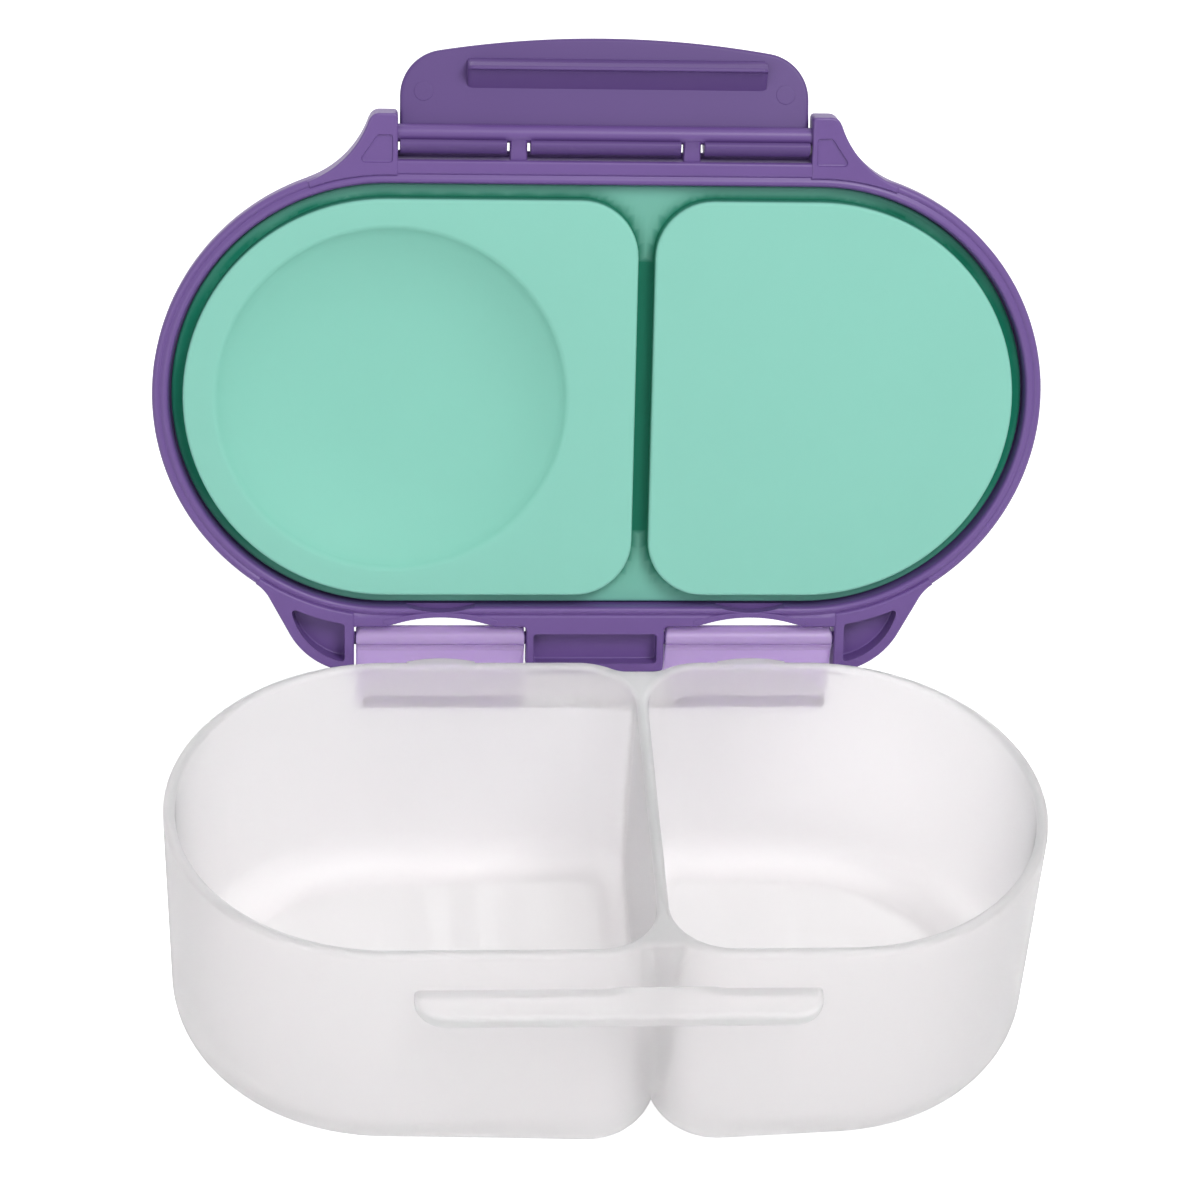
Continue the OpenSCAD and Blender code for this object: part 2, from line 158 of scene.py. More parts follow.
def millimetres(group):
    """The sizes of a property group as plain numbers in millimetres."""
    return SimpleNamespace(**{name: getattr(group, name) * 1000 for name in names_in(group)})


# ---- outlines, in millimetres


def arc(centre, radius, start, end, steps):
    """steps + 1 points of an arc, its angles in degrees."""
    a = np.radians(np.linspace(start, end, steps + 1))
    return np.column_stack([centre[0] + radius * np.cos(a), centre[1] + radius * np.sin(a)])


def circle(centre, radius, steps):
    """A full circle, anticlockwise."""
    return arc(centre, radius, 0, 360, steps)[:-1]


def line(start, end, steps):
    """Points strictly between start and end."""
    t = np.linspace(0, 1, steps + 1)[1:-1, None]
    return np.asarray(start, float) * (1 - t) + np.asarray(end, float) * t


def rounded(corners, per_step=8):
    """A closed outline through (x, y, radius) corners; a step of an arc turns per_step degrees."""
    points = []
    count = len(corners)
    for i, (x, y, radius) in enumerate(corners):
        corner = np.array([x, y], float)
        before = np.array(corners[i - 1][:2], float) - corner
        after = np.array(corners[(i + 1) % count][:2], float) - corner
        before /= np.linalg.norm(before)
        after /= np.linalg.norm(after)
        half = 0.5 * math.acos(float(np.clip(before @ after, -1, 1)))
        if radius <= 0 or half > math.radians(89.5):
            points.append(corner[None])
            continue
        middle = before + after
        centre = corner + middle / np.linalg.norm(middle) * radius / math.sin(half)
        run = radius / math.tan(half)
        a0 = math.atan2(*(corner + before * run - centre)[::-1])
        a1 = math.atan2(*(corner + after * run - centre)[::-1])
        turn = (a1 - a0 + math.pi) % (2 * math.pi) - math.pi
        steps = max(3, int(abs(math.degrees(turn)) / per_step))
        points.append(arc(centre, radius, math.degrees(a0), math.degrees(a0 + turn), steps))
    return np.vstack(points)


def rectangle(x0, x1, y0, y1, front=0, back=0):
    """A rectangle, with the radius of its corners at y0 and of those at y1."""
    return rounded([(x0, y0, front), (x1, y0, front), (x1, y1, back), (x0, y1, back)])


def stadium(half, radius, straight, steps=64):
    """A stadium, anticlockwise from the front."""
    return np.vstack([
        arc((half, 0), radius, -90, 90, steps), line((half, radius), (-half, radius), straight),
        arc((-half, 0), radius, 90, 270, steps), line((-half, -radius), (half, -radius), straight),
    ])


def mirrored(outline):
    """The outline on the other side of the middle, still anticlockwise."""
    return (outline * (-1, 1))[::-1]


def compartment_outline(side, face_x, end_offset, radius, corner, steps=40):
    """Plan of one compartment: a round end on that side and a flat face with two round corners."""
    face = side * face_x
    x, y = face + corner, radius - corner
    points = np.vstack([
        arc((x, -y), corner, 180, 270, 12), line((x, -radius), (end_offset, -radius), 30),
        arc((end_offset, 0), radius, -90, 90, steps), line((end_offset, radius), (x, radius), 30),
        arc((x, y), corner, 90, 180, 12), line((face, y), (face, -y), 40),
    ])
    return points if side > 0 else mirrored(points)


def inset(outline, distance):
    """An anticlockwise outline moved inwards, a clockwise one moved outwards."""
    before = outline - np.roll(outline, 1, 0)
    after = np.roll(outline, -1, 0) - outline
    before /= np.maximum(np.linalg.norm(before, axis=1, keepdims=True), 1e-9)
    after /= np.maximum(np.linalg.norm(after, axis=1, keepdims=True), 1e-9)
    n0 = np.column_stack([-before[:, 1], before[:, 0]])
    n1 = np.column_stack([-after[:, 1], after[:, 0]])
    middle = n0 + n1
    middle /= np.maximum(np.linalg.norm(middle, axis=1, keepdims=True), 1e-9)
    reach = 1 / np.maximum((middle * n0).sum(1, keepdims=True), 0.5)
    return outline + middle * distance * reach


def edge_steps(radius, steps=5):
    """(inset, height) pairs of a rounded edge, from its end on the face to its end on the side."""
    a = np.linspace(0, math.pi / 2, steps + 1 if radius else 1)
    return list(zip(radius * (1 - np.sin(a)), radius * (1 - np.cos(a))))


# ---- meshes


class Shape:
    """Vertices and faces that are gathered piece by piece, in millimetres."""

    def __init__(self):
        self.points, self.faces, self.count = [], [], 0

    def add(self, points):
        points = np.asarray(points, float)
        self.points.append(points)
        self.count += len(points)
        return np.arange(self.count - len(points), self.count)

    def ring(self, outline, height):
        """An outline's points at one height."""
        return self.add(np.column_stack([outline, np.full(len(outline), height)]))

    def bridge(self, low, high, closed=True):
        """Quads between two rings of the same count; anticlockwise rings, low to high, face out."""
        n = len(low)
        for i in range(n if closed else n - 1):
            j = (i + 1) % n
            self.faces.append((low[i], low[j], high[j], high[i]))

    def wall(self, outlines, heights):
        """A wall through outlines of the same count; returns its first and its last ring."""
        rings = [self.ring(outline, height) for outline, height in zip(outlines, heights)]
        for low, high in zip(rings, rings[1:]):
            self.bridge(low, high)
        return rings[0], rings[-1]

    def inset_wall(self, outline, rows):
        """A wall through one outline that is moved inwards at each (inset, height) row."""
        return self.wall([inset(outline, distance) for distance, _ in rows],
                         [height for _, height in rows])

    def cap(self, rings, up, between=()):
        """A flat face over a ring, with holes where more rings follow, and with more points between
        them where they are given."""
        flat = np.concatenate([*rings, self.add(between)] if len(between) else rings)
        where = np.vstack(self.points)
        loops = np.split(np.arange(len(flat)), np.cumsum([len(ring) for ring in rings]))[:-1]
        made = delaunay_2d_cdt([Vector(where[i][:2]) for i in flat], [],
                               [loop.tolist() for loop in loops], 2, 1e-7)
        names = [flat[own[0]] if own else self.add([[*spot, where[flat[0]][2]]])[0]
                 for spot, own in zip(made[0], made[3])]
        where = np.vstack(self.points)
        for face in made[2]:
            a, b, c = (names[k] for k in face)
            p, q, r = where[a], where[b], where[c]
            upwards = (q[0] - p[0]) * (r[1] - p[1]) - (q[1] - p[1]) * (r[0] - p[0]) > 0
            self.faces.append((a, b, c) if upwards == up else (a, c, b))

    def plate(self, outline, low, high, low_round, high_round, holes=()):
        """A plate between two heights with rounded edges, and holes given anticlockwise."""
        flat = 0.15  # width of the strip beside each rounding that keeps the face flat to the eye
        rows = [(low_round + flat, low), *[(i, low + h) for i, h in edge_steps(low_round)],
                *[(i, high - h) for i, h in edge_steps(high_round)[::-1]],
                (high_round + flat, high)]
        ends = [self.inset_wall(loop, rows) for loop in (outline, *[hole[::-1] for hole in holes])]
        self.cap([first for first, _ in ends], up=False)
        self.cap([last for _, last in ends], up=True)
        return self

    def stack(self, outlines, heights):
        """A closed solid through outlines of the same count, anticlockwise, from low to high."""
        first, last = self.wall(outlines, heights)
        self.cap([first], up=False)
        self.cap([last], up=True)
        return self

    def across(self):
        """Lays the shape on its side: a plan (y, z) extruded along x."""
        self.points = [points[:, [2, 0, 1]] for points in self.points]
        return self


def placed(name, data):
    """A new object in the scene."""
    obj = bpy.data.objects.new(name, data)
    bpy.context.scene.collection.objects.link(obj)
    return obj


def finish(name, shape, material, merge=0.0, recalc=False):
    """A smooth mesh object in metres; points that lie closer than merge millimetres become one."""
    mesh = bpy.data.meshes.new(name)
    mesh.from_pydata((np.vstack(shape.points) * 0.001).tolist(), [],
                     [tuple(int(i) for i in face) for face in shape.faces])
    work = bmesh.new()
    work.from_mesh(mesh)
    if merge:
        bmesh.ops.remove_doubles(work, verts=work.verts, dist=merge * 0.001)
    bmesh.ops.delete(work, geom=[v for v in work.verts if not v.link_faces], context="VERTS")
    if recalc:
        bmesh.ops.recalc_face_normals(work, faces=work.faces)
    work.to_mesh(mesh)
    work.free()
    mesh.shade_smooth()
    mesh.set_sharp_from_angle(angle=SMOOTH_ANGLE)
    mesh.materials.append(material)
    return placed(name, mesh)


def evaluated(obj):
    """A new mesh of what the object's modifiers make."""
    bpy.context.view_layer.update()
    return bpy.data.meshes.new_from_object(
        obj.evaluated_get(bpy.context.evaluated_depsgraph_get()))


def baked(obj):
    """The object with its modifiers applied to the mesh."""
    mesh = evaluated(obj)
    obj.modifiers.clear()
    obj.data = mesh
    return obj


def combined(obj, others, operation="UNION"):
    """Joins closed meshes into one solid, or cuts the others out of the first."""
    for other in others:
        modifier = obj.modifiers.new("solid", "BOOLEAN")
        modifier.operation, modifier.solver, modifier.object = operation, "EXACT", other
    baked(obj)
    for other in others:
        bpy.data.objects.remove(other)
    return obj


def smoothed(obj):
    """Smooth shading with sharp edges and flat faces that stay flat, after solids were joined."""
    work = bmesh.new()
    work.from_mesh(obj.data)
    bmesh.ops.remove_doubles(work, verts=work.verts, dist=1e-6)
    bmesh.ops.dissolve_degenerate(work, edges=work.edges, dist=1e-7)
    work.to_mesh(obj.data)
    work.free()
    obj.data.shade_smooth()
    obj.data.set_sharp_from_angle(angle=SMOOTH_ANGLE)
    flat = obj.modifiers.new("flat faces", "WEIGHTED_NORMAL")
    flat.keep_sharp = True
    return baked(obj)


def points_of(mesh):
    """A mesh's points in millimetres."""
    points = np.empty(len(mesh.vertices) * 3)
    mesh.vertices.foreach_get("co", points)
    return points.reshape(-1, 3) * 1000


def moved(obj, place):
    """The object's mesh moved point by point: place turns points in millimetres into points."""
    obj.data.vertices.foreach_set("co", (place(points_of(obj.data)) * 0.001).ravel())
    obj.data.update()
    return obj


def turned(points, angle, y, z):
    """Points turned about an axis along X, clockwise seen from +X."""
    a = math.radians(-angle)
    dy, dz = points[:, 1] - y, points[:, 2] - z
    return np.column_stack([points[:, 0], y + dy * math.cos(a) - dz * math.sin(a),
                            z + dy * math.sin(a) + dz * math.cos(a)])


# Where the lid and the latch stand, in degrees from closed, and the height and place of their axes
LID_ANGLE, LATCH_ANGLE = 110.6, 105.0
AXIS_HEIGHT, HINGE_Y, LATCH_Y = 56.0, 52.8, -55.3


def on_lid(points):
    """From the lid's closed place to where it stands open."""
    return turned(points, LID_ANGLE, HINGE_Y, AXIS_HEIGHT)


def on_latch(points):
    """From the latch's own frame, axis at the origin and plate hanging, to where it stands."""
    return on_lid(turned(points, LATCH_ANGLE, 0, 0) + (0, LATCH_Y, AXIS_HEIGHT))


# ---- materials


def linear(text):
    """An sRGB hex colour as linear RGBA."""
    values = [int(text.lstrip("#")[i:i + 2], 16) / 255 for i in (0, 2, 4)]
    return [v / 12.92 if v <= 0.04045 else ((v + 0.055) / 1.055) ** 2.4 for v in values] + [1.0]


def add_node(tree, kind, inputs=None, **settings):
    """A node with its settings, and its inputs given as values or as sockets to link."""
    node = tree.nodes.new(kind)
    for key, value in settings.items():
        setattr(node, key, value)
    for socket, value in (inputs or {}).items():
        if isinstance(value, bpy.types.NodeSocket):
            tree.links.new(value, node.inputs[socket])
        else:
            node.inputs[socket].default_value = value
    return node


def new_material(name):
    """An empty node material and its tree."""
    material = bpy.data.materials.new(name)
    material.use_nodes = True
    material.node_tree.nodes.clear()
    return material, material.node_tree


def moulded(name, text, roughness, grain_mm, grain_depth, drift=0.05, deep=None, **fixed):
    """Injection-moulded plastic or rubber: an even colour with a slow drift from the melt's flow,
    and the fine grain of the mould's face in bump and roughness. deep is the colour of painted
    shade, reached where the "depth" attribute is 1, and fixed holds the shader's plain values."""
    material, tree = new_material(name)
    where = add_node(tree, "ShaderNodeTexCoord").outputs["Object"]
    flow = add_node(tree, "ShaderNodeTexNoise", {"Vector": where, "Scale": 38.0, "Detail": 3.0})
    grain = add_node(tree, "ShaderNodeTexNoise",
                     {"Vector": where, "Scale": 1000.0 / grain_mm, "Detail": 4.0, "Roughness": 0.6})
    base = linear(text)
    dark = [c * (1 - drift) for c in base[:3]] + [1.0]
    light = [min(1.0, c * (1 + drift)) for c in base[:3]] + [1.0]
    paint = add_node(tree, "ShaderNodeMix", {0: flow.outputs["Fac"], 6: dark, 7: light},
                     data_type="RGBA").outputs[2]
    if deep:
        # The "depth" attribute carries painted shade: at 1 the colour is all deep
        depth = add_node(tree, "ShaderNodeAttribute", attribute_name="depth")
        paint = add_node(tree, "ShaderNodeMix",
                         {0: depth.outputs["Fac"], 6: paint, 7: linear(deep)},
                         data_type="RGBA").outputs[2]
    rough = add_node(tree, "ShaderNodeMapRange",
                     {"Value": grain.outputs["Fac"], "To Min": roughness - 0.05,
                      "To Max": roughness + 0.05})
    bump = add_node(tree, "ShaderNodeBump", {"Height": grain.outputs["Fac"], "Strength": 0.35,
                                             "Distance": grain_depth * 0.001})
    shader = add_node(tree, "ShaderNodeBsdfPrincipled",
                      {"Base Color": paint, "Roughness": rough.outputs["Result"],
                       "Normal": bump.outputs["Normal"], **fixed})
    add_node(tree, "ShaderNodeOutputMaterial", {"Surface": shader.outputs["BSDF"]})
    return material


def materials(colours):
    """The object's materials by name, made once. A grain of 0.4 to 0.6 mm is coarser than the real
    one, of about 0.05 mm, which would not show in the render."""
    made = bpy.data.materials
    if "purple_polypropylene_lid" not in made:
        # Purple polypropylene, injection moulded in a fine satin mould: soft highlights on edges.
        moulded("purple_polypropylene_lid", colours.lid, 0.38, 0.5, 0.02, IOR=1.49)
        # Same plastic as the lid, its purple painted darker as painted shade, and with less sheen.
        moulded("purple_polypropylene_latch_painted_shade", colours.latch, 0.42, 0.5, 0.02, IOR=1.49,
                **{"Specular IOR Level": 0.3})
        # Lilac polypropylene with little pigment: light passes a little way into it.
        moulded("lilac_polypropylene", colours.clip, 0.34, 0.5, 0.02, drift=0.03, IOR=1.49,
                **{"Transmission Weight": 0.5, "Subsurface Weight": 0.3,
                   "Subsurface Radius": (1.0, 0.8, 1.0), "Subsurface Scale": 0.002})
        # Painted shade: the seal turns dark green in its grooves, by the "depth" attribute
        # Silicone rubber, pressed in a blasted mould: matt and soft, a little light inside.
        moulded("mint_silicone", colours.seal, 0.6, 0.4, 0.015, drift=0.02, IOR=1.41,
                deep=colours.seal_painted_shade,
                **{"Subsurface Weight": 0.12, "Subsurface Radius": (0.7, 1.0, 0.9),
                   "Subsurface Scale": 0.002, "Specular IOR Level": 0.25})
        # Natural polypropylene: milky, with a satin face; what lies close behind it shows through.
        # A thin wall hardly bends the light, so its IOR is below the plastic's own 1.49.
        moulded("natural_polypropylene", colours.tub, 0.42, 0.6, 0.015, drift=0.01, IOR=1.3,
                **{"Transmission Weight": 0.66, "Subsurface Weight": 0.4,
                   "Subsurface Radius": (1.0, 0.95, 0.97), "Subsurface Scale": 0.004})
    return made


def given(context, material):
    """The tub's sizes, the lid's sizes and a material: what an operator works with."""
    scene = context.scene
    return (millimetres(scene.snack_tub), millimetres(scene.snack_lid),
            materials(scene.snack_colours)[material])


# ---- tub


def drawn_in(s, edge_round, height):
    """How far the outside lies within the rim's outline, where its lower edge has that radius."""
    if height < edge_round:
        return s.wall_lean + edge_round - math.sqrt(max(edge_round ** 2
                                                        - (edge_round - height) ** 2, 0))
    return s.wall_lean * (1 - (height - edge_round) / (s.rim_height - edge_round))


def outside_half(s, end, trim, height):
    """From the divider's plane along the front, round the end and back; the first coordinate is
    the distance from the divider, end that of the round end's centre, trim the rim's rounding."""
    share = s.wall + s.wall_lean / 2
    reach = s.corner + s.wall / 2
    centre = s.rim_radius - s.corner - share
    small = s.corner + share - drawn_in(s, s.divider_round, height) - trim
    big = s.rim_radius - drawn_in(s, s.base_round, height) - trim
    # The straight stretch touches the corner's arc and the end's arc
    turn = math.degrees(math.atan2(centre, end - reach)
                        - math.acos((small - big) / math.hypot(end - reach, centre)))
    if small < reach:  # the two compartments stand apart this far down
        start = arc((reach - small, -centre), 0, 0, 0, 10)
        corner = arc((reach, -centre), small, 180, 360 + turn, 14)
    else:
        bare = centre + math.sqrt(small ** 2 - reach ** 2)
        web = s.rim_radius - trim - s.valley_top - (s.valley_foot - s.valley_top) * (
            1 - height / s.rim_height)
        blend = min(max((height - 6.5) / 8, 0), 1)  # the valley deepens over 8 mm of height
        y = bare + (max(web, bare) - bare) * blend * blend * (3 - 2 * blend)
        lift = y - centre
        limit = (reach ** 2 / max(small - lift, 1e-6) - small - lift) / 2
        fillet = max(0.0, min(s.valley_fillet * blend + trim, limit * 0.999))
        u = max(reach - math.sqrt(max((small + fillet) ** 2 - (lift + fillet) ** 2, 0)), 0.0)
        tangent = math.degrees(math.atan2(lift + fillet, reach - u))
        start = np.vstack([[[0.0, -y]], arc((u, -y - fillet), fillet, 90, tangent, 9)])
        corner = arc((reach, -centre), small, 180 + tangent, 360 + turn, 14)
    front = arc((end, 0), big, turn, 0, 30)
    front = np.vstack([start, corner[1:], line(corner[-1], front[0], 8), front])
    return np.vstack([front, (front[:-1] * (1, -1))[::-1]])


def tub_rows(s):
    """(rim rounding, height) rows of the outside, from the underside to the rim, and the number of
    the row in which the two compartments join."""
    share = s.wall + s.wall_lean / 2
    apart = s.corner + share - (s.corner + s.wall / 2) - s.wall_lean
    join, join_row = math.acos(1 - apart / s.divider_round), 8
    angles = [*np.linspace(math.pi / 2, join, join_row + 1), *np.linspace(join, 0, 5)[1:]]
    rows = [(0, s.divider_round * (1 - math.sin(a))) for a in angles]
    rows.append((0, (s.divider_round + s.base_round) / 2))
    rows += [(0, h) for h in np.linspace(s.base_round, s.rim_height - s.rim_round, 14)[:-1]]
    rows += [(i, s.rim_height - h) for i, h in edge_steps(s.rim_round, 6)[::-1]]
    return rows, join_row


def tub_outside(shape, s):
    """Both halves of the outside; returns one ring around the rim."""
    rows, join_row = tub_rows(s)
    top = []
    for side in (-1, 1):
        end = s.end_offset - side * s.divider_x
        last = None
        for number, (trim, height) in enumerate(rows):
            half = outside_half(s, end, trim, height) * (side, 1) + (s.divider_x, 0)
            now = shape.ring(half, height)[::side]
            if last is None:
                shape.cap([now], up=False)
            else:
                shape.bridge(last, now, closed=number <= join_row)
            last = now
        top.append(last)
    # The left half's ends and the right half's ends coincide
    return np.concatenate([top[1], top[0][1:-1]])


def tub_inside(shape, s, side):
    """One compartment, from its rounded rim down to its floor; returns the ring at its top."""
    face = s.divider_x + side * s.wall / 2
    radius = s.rim_radius - s.wall
    foot_round = s.base_round - s.wall
    rows = [(-i, s.rim_height - h) for i, h in edge_steps(s.rim_round, 6)]
    rows += [(s.wall_lean * (s.rim_height - h) / (s.rim_height - s.base_round), h)
             for h in np.linspace(s.rim_height - s.rim_round, s.base_round, 12)[1:]]
    rows += [(s.wall_lean + foot_round - i, s.wall + h)
             for i, h in [(foot_round * math.cos(a), foot_round * (1 - math.sin(a)))
                          for a in np.radians(np.linspace(0, 90, 10))[1:]]]
    rows.append((rows[-1][0] + 0.4, s.wall))
    first, last = shape.wall([compartment_outline(side, face + side * i, s.end_offset, radius - i,
                                                  s.corner - i) for i, _ in rows],
                             [height for _, height in rows])
    shape.cap([last], up=True)
    return first


def shelf_outline(s, half, side):
    """Plan of the front or the rear shelf, rooted in the tub's wall."""
    root = s.rim_radius - s.wall / 2
    corners = [(-half, root, 0), (-half, s.shelf_edge, s.shelf_round),
               (half, s.shelf_edge, s.shelf_round), (half, root, 0)]
    outline = rounded([(x, side * y, r) for x, y, r in corners], 6)
    return outline if side < 0 else outline[::-1]


def rim_lug_outline(s, x, root, gap=0.0):
    """Plan of an arched lug on the rear rim, or of the room that it needs, gap larger."""
    radius = (s.lug_width ** 2 / 4 + s.lug_reach ** 2) / (2 * s.lug_reach)
    spread = math.degrees(math.asin(s.lug_width / 2 / radius))
    bow = arc((x, s.rim_radius + s.lug_reach - radius), radius + gap, 90 - spread, 90 + spread, 20)
    return np.vstack([[[bow[0, 0], root]], bow, [[bow[-1, 0], root]]])


class SNACK_OT_tub(bpy.types.Operator):
    """Makes the tub: two compartments, the rim, two shelves and the rear rim's lugs"""

    bl_idname = "snack.tub"
    bl_label = "Tub"

    def execute(self, context):
        s, _, plastic = given(context, "natural_polypropylene")
        shape = Shape()
        rim = tub_outside(shape, s)
        left, right = tub_inside(shape, s, -1), tub_inside(shape, s, 1)
        shape.cap([rim, left, right], up=True)
        tub = finish("tub_moulding", shape, plastic, merge=0.002)
        extras = []
        edge, low = 1.1, s.shelf_top - s.shelf_thick
        for half, side in ((s.front_shelf, -1), (s.rear_shelf, 1)):
            shelf = Shape().plate(shelf_outline(s, half, side), low, s.shelf_top, edge, edge)
            extras.append(finish("shelf", shelf, plastic))
        root, low, high = s.rim_radius - 1.7, s.rim_height - 2.6, s.rim_height - 0.02
        for x in (-s.lug_offset, s.lug_offset):
            lug = Shape().plate(rim_lug_outline(s, x, root), low, high, 0.2, 0.5)
            extras.append(finish("rim_lug", lug, plastic))
        smoothed(combined(tub, extras))
        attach(tub, "tub")
        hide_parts("tub")
        return {"FINISHED"}


# ---- lid


def sweep_tree():
    """Geometry nodes: a profile curve is carried around the object's own curve."""
    tree = bpy.data.node_groups.new("rim around a path", "GeometryNodeTree")
    for name, kind in (("Geometry", "Geometry"), ("Profile", "Object"), ("Step length", "Float"),
                       ("Material", "Material")):
        tree.interface.new_socket(name, in_out="INPUT", socket_type="NodeSocket" + kind)
    tree.interface.new_socket("Geometry", in_out="OUTPUT", socket_type="NodeSocketGeometry")
    given = add_node(tree, "NodeGroupInput").outputs
    path = add_node(tree, "GeometryNodeResampleCurve",
                    {"Curve": given["Geometry"], "Length": given["Step length"]}, mode="LENGTH")
    upright = add_node(tree, "GeometryNodeSetCurveNormal", {"Curve": path.outputs["Curve"]},
                       mode="Z_UP")
    profile = add_node(tree, "GeometryNodeObjectInfo", {"Object": given["Profile"]})
    swept = add_node(tree, "GeometryNodeCurveToMesh",
                     {"Curve": upright.outputs["Curve"],
                      "Profile Curve": profile.outputs["Geometry"]})
    real = add_node(tree, "GeometryNodeRealizeInstances", {"Geometry": swept.outputs["Mesh"]})
    coated = add_node(tree, "GeometryNodeSetMaterial",
                      {"Geometry": real.outputs["Geometry"], "Material": given["Material"]})
    add_node(tree, "NodeGroupOutput", {"Geometry": coated.outputs["Geometry"]})
    return tree


def closed_curve(name, points):
    """A closed curve object of straight pieces, from points in millimetres."""
    data = bpy.data.curves.new(name, "CURVE")
    data.dimensions = "3D"
    spline = data.splines.new("POLY")
    spline.points.add(len(points) - 1)
    for place, point in zip(spline.points, points):
        place.co = (*(np.asarray(point) * 0.001), 1)
    spline.use_cyclic_u = True
    return placed(name, data)


def swept_rim(name, outline, profile, material):
    """A rim made by the sweep tree: profile holds (outwards, up) pairs about the outline."""
    along = closed_curve(name, np.column_stack([outline, np.zeros(len(outline))]))
    section = closed_curve(name + "_section", [(x, -y, 0) for x, y in profile])
    modifier = along.modifiers.new("rim", "NODES")
    modifier.node_group = bpy.data.node_groups.get("rim around a path") or sweep_tree()
    keys = {item.name: item.identifier for item in modifier.node_group.interface.items_tree
            if item.in_out == "INPUT"}
    modifier[keys["Profile"]] = section
    modifier[keys["Step length"]] = 0.0018
    modifier[keys["Material"]] = material
    mesh = evaluated(along)
    for obj in (along, section):
        bpy.data.objects.remove(obj)
    shape = Shape()
    shape.add(points_of(mesh))
    shape.faces = [tuple(p.vertices) for p in mesh.polygons]
    bpy.data.meshes.remove(mesh)
    return finish(name, shape, material, merge=0.001, recalc=True)


def lid_rim_profile(s):
    """(outwards from the lid's outline, height) of the lid's rim: rounded upper edge, upright wall,
    a lower edge with a round bead inside it, and the bead's inner side up to the plate."""
    valley, inner = s.valley - s.radius, s.bead_inside - s.radius
    crest = (valley + inner) / 2 - 0.05
    low = s.skirt_bottom
    # (inside the lid's outline, above the skirt's lower edge)
    edge = [(-i, low + h) for i, h in ((0, 1.0), (0.08, 0.62), (0.3, 0.28), (0.62, 0.07), (0.95, 0),
                                       (1.2, 0.06), (1.42, 0.2))]
    bead = [(valley, low + 0.3), (valley - 0.2, low + 0.22), (valley - 0.45, low + 0.04),
            (crest + 0.3, low - 0.1), (crest - 0.03, low - 0.15), (crest - 0.35, low - 0.05),
            (inner + 0.28, low + 0.2), (inner + 0.12, low + 0.6), (inner + 0.04, low + 1.1),
            (inner, low + 2.6)]
    top = [(-s.edge_round + s.edge_round * math.sin(a), s.top - s.edge_round
            + s.edge_round * math.cos(a)) for a in np.linspace(0, math.pi / 2, 9)]
    return [(inner, s.top)] + top + edge + bead + [(inner, s.top - s.plate)]


REAR_LUG, REAR_LUG_RADIUS = np.array([50.6, 43.5]), 16.3  # middle and radius of its round end


def rear_lug_outline(s, middle):
    """Plan of a rear lug: round end, straight slope, and a hollow blend into the lid's outline."""
    slope, blend = 28.0, 9.0
    a = math.radians(slope)
    out = np.array([math.cos(a), math.sin(a)])
    along = np.array([out[1], -out[0]])
    # Where a circle of the blend's radius touches both the slope and the lid's round end
    base = REAR_LUG + out * (REAR_LUG_RADIUS + blend) - middle
    b = base @ along
    hub = middle + base + along * (-b - math.sqrt(b * b - base @ base + (s.radius + blend) ** 2))
    to_lid = math.degrees(math.atan2(*(hub - middle)[::-1]))
    start = math.degrees(math.acos((s.lug_inside - middle[0]) / s.valley))
    return np.vstack([arc(middle, s.valley, start, to_lid, 14),
                      arc(hub, blend, 180 + to_lid, 180 + slope, 10),
                      arc(REAR_LUG, REAR_LUG_RADIUS, slope, 82, 16),
                      [[s.lug_inside, s.lug_end - 0.1]]])


def rear_pocket_outline(s, middle):
    """Plan of the hollow in a rear lug, 2 mm inside the lug's outline."""
    near, reach, far, corner = s.lug_inside + 2, REAR_LUG_RADIUS - 2.1, s.radius + 1, 0.7
    between = REAR_LUG - middle
    gap = np.linalg.norm(between)
    side = math.acos((far * far + gap * gap - reach * reach) / (2 * far * gap))
    meet = math.atan2(between[1], between[0]) - side
    tip = middle + far * np.array([math.cos(meet), math.sin(meet)])
    start = math.degrees(math.acos((near - middle[0]) / far))
    low = arc(middle, far, start, math.degrees(meet), 5)
    high = arc(REAR_LUG, reach, math.degrees(math.atan2(*(tip - REAR_LUG)[::-1])),
               math.degrees(math.acos((near - REAR_LUG[0]) / reach)), 8)
    return rounded([(*low[0], corner), *[(*p, 0) for p in low[1:-1]], (*low[-1], corner),
                    *[(*p, 0) for p in high[1:-1]], (*high[-1], corner)])


def front_lug_outline(s, middle):
    """Plan of a front lug: a square end with a round corner, and a flare of 20.7 mm radius that
    runs from it into the lid's edge."""
    x, end = s.front_lug, LATCH_Y - 4.4
    return np.vstack([arc((x + 0.8, end + 0.8), 0.8, 180, 270, 4),
                      arc((x + 3.8, end + 2.2), 2.2, -90, -19.4, 8),
                      arc((x + 25.51, end - 5.28), 20.7, 160.6, 109.9, 20),
                      arc(middle, s.valley - 0.15, -70.1, -90, 12), [[x, 0.15 - s.valley]]])


def strip_outline(s, edge):
    """Plan of the strip behind the seal and the block between the clips."""
    far, half, soft = s.lug_inside + 0.4, s.block_half, 0.8
    right = np.vstack([[[far, s.valley]], [[far, edge]],
                       arc((half + soft, edge + soft), soft, 270, 180, 4),
                       arc((half - 1.2, s.lug_end - 1.2), 1.2, 0, 90, 5)])
    return np.vstack([right, mirrored(right)])


def relief_outline(x, edge):
    """Plan of the hollow that leaves the strip thin in front of a clip."""
    half, depth = 11.9, 2.25
    radius = (half * half + depth * depth) / (2 * depth)
    spread = math.degrees(math.asin(half / radius))
    bow = arc((x, edge - depth + radius), radius, 270 - spread, 270 + spread, 24)
    return np.vstack([bow, [[x + half, edge + 1]], [[x - half, edge + 1]]])


def ridge_outline(x):
    """Plan of the low arch that frames this hollow towards the seal."""
    bow = arc((x, 87.7), 41.3, 270 - 17, 270 + 17, 24)
    return np.vstack([bow, [[bow[-1, 0], 48.95]], [[bow[0, 0], 48.95]]])


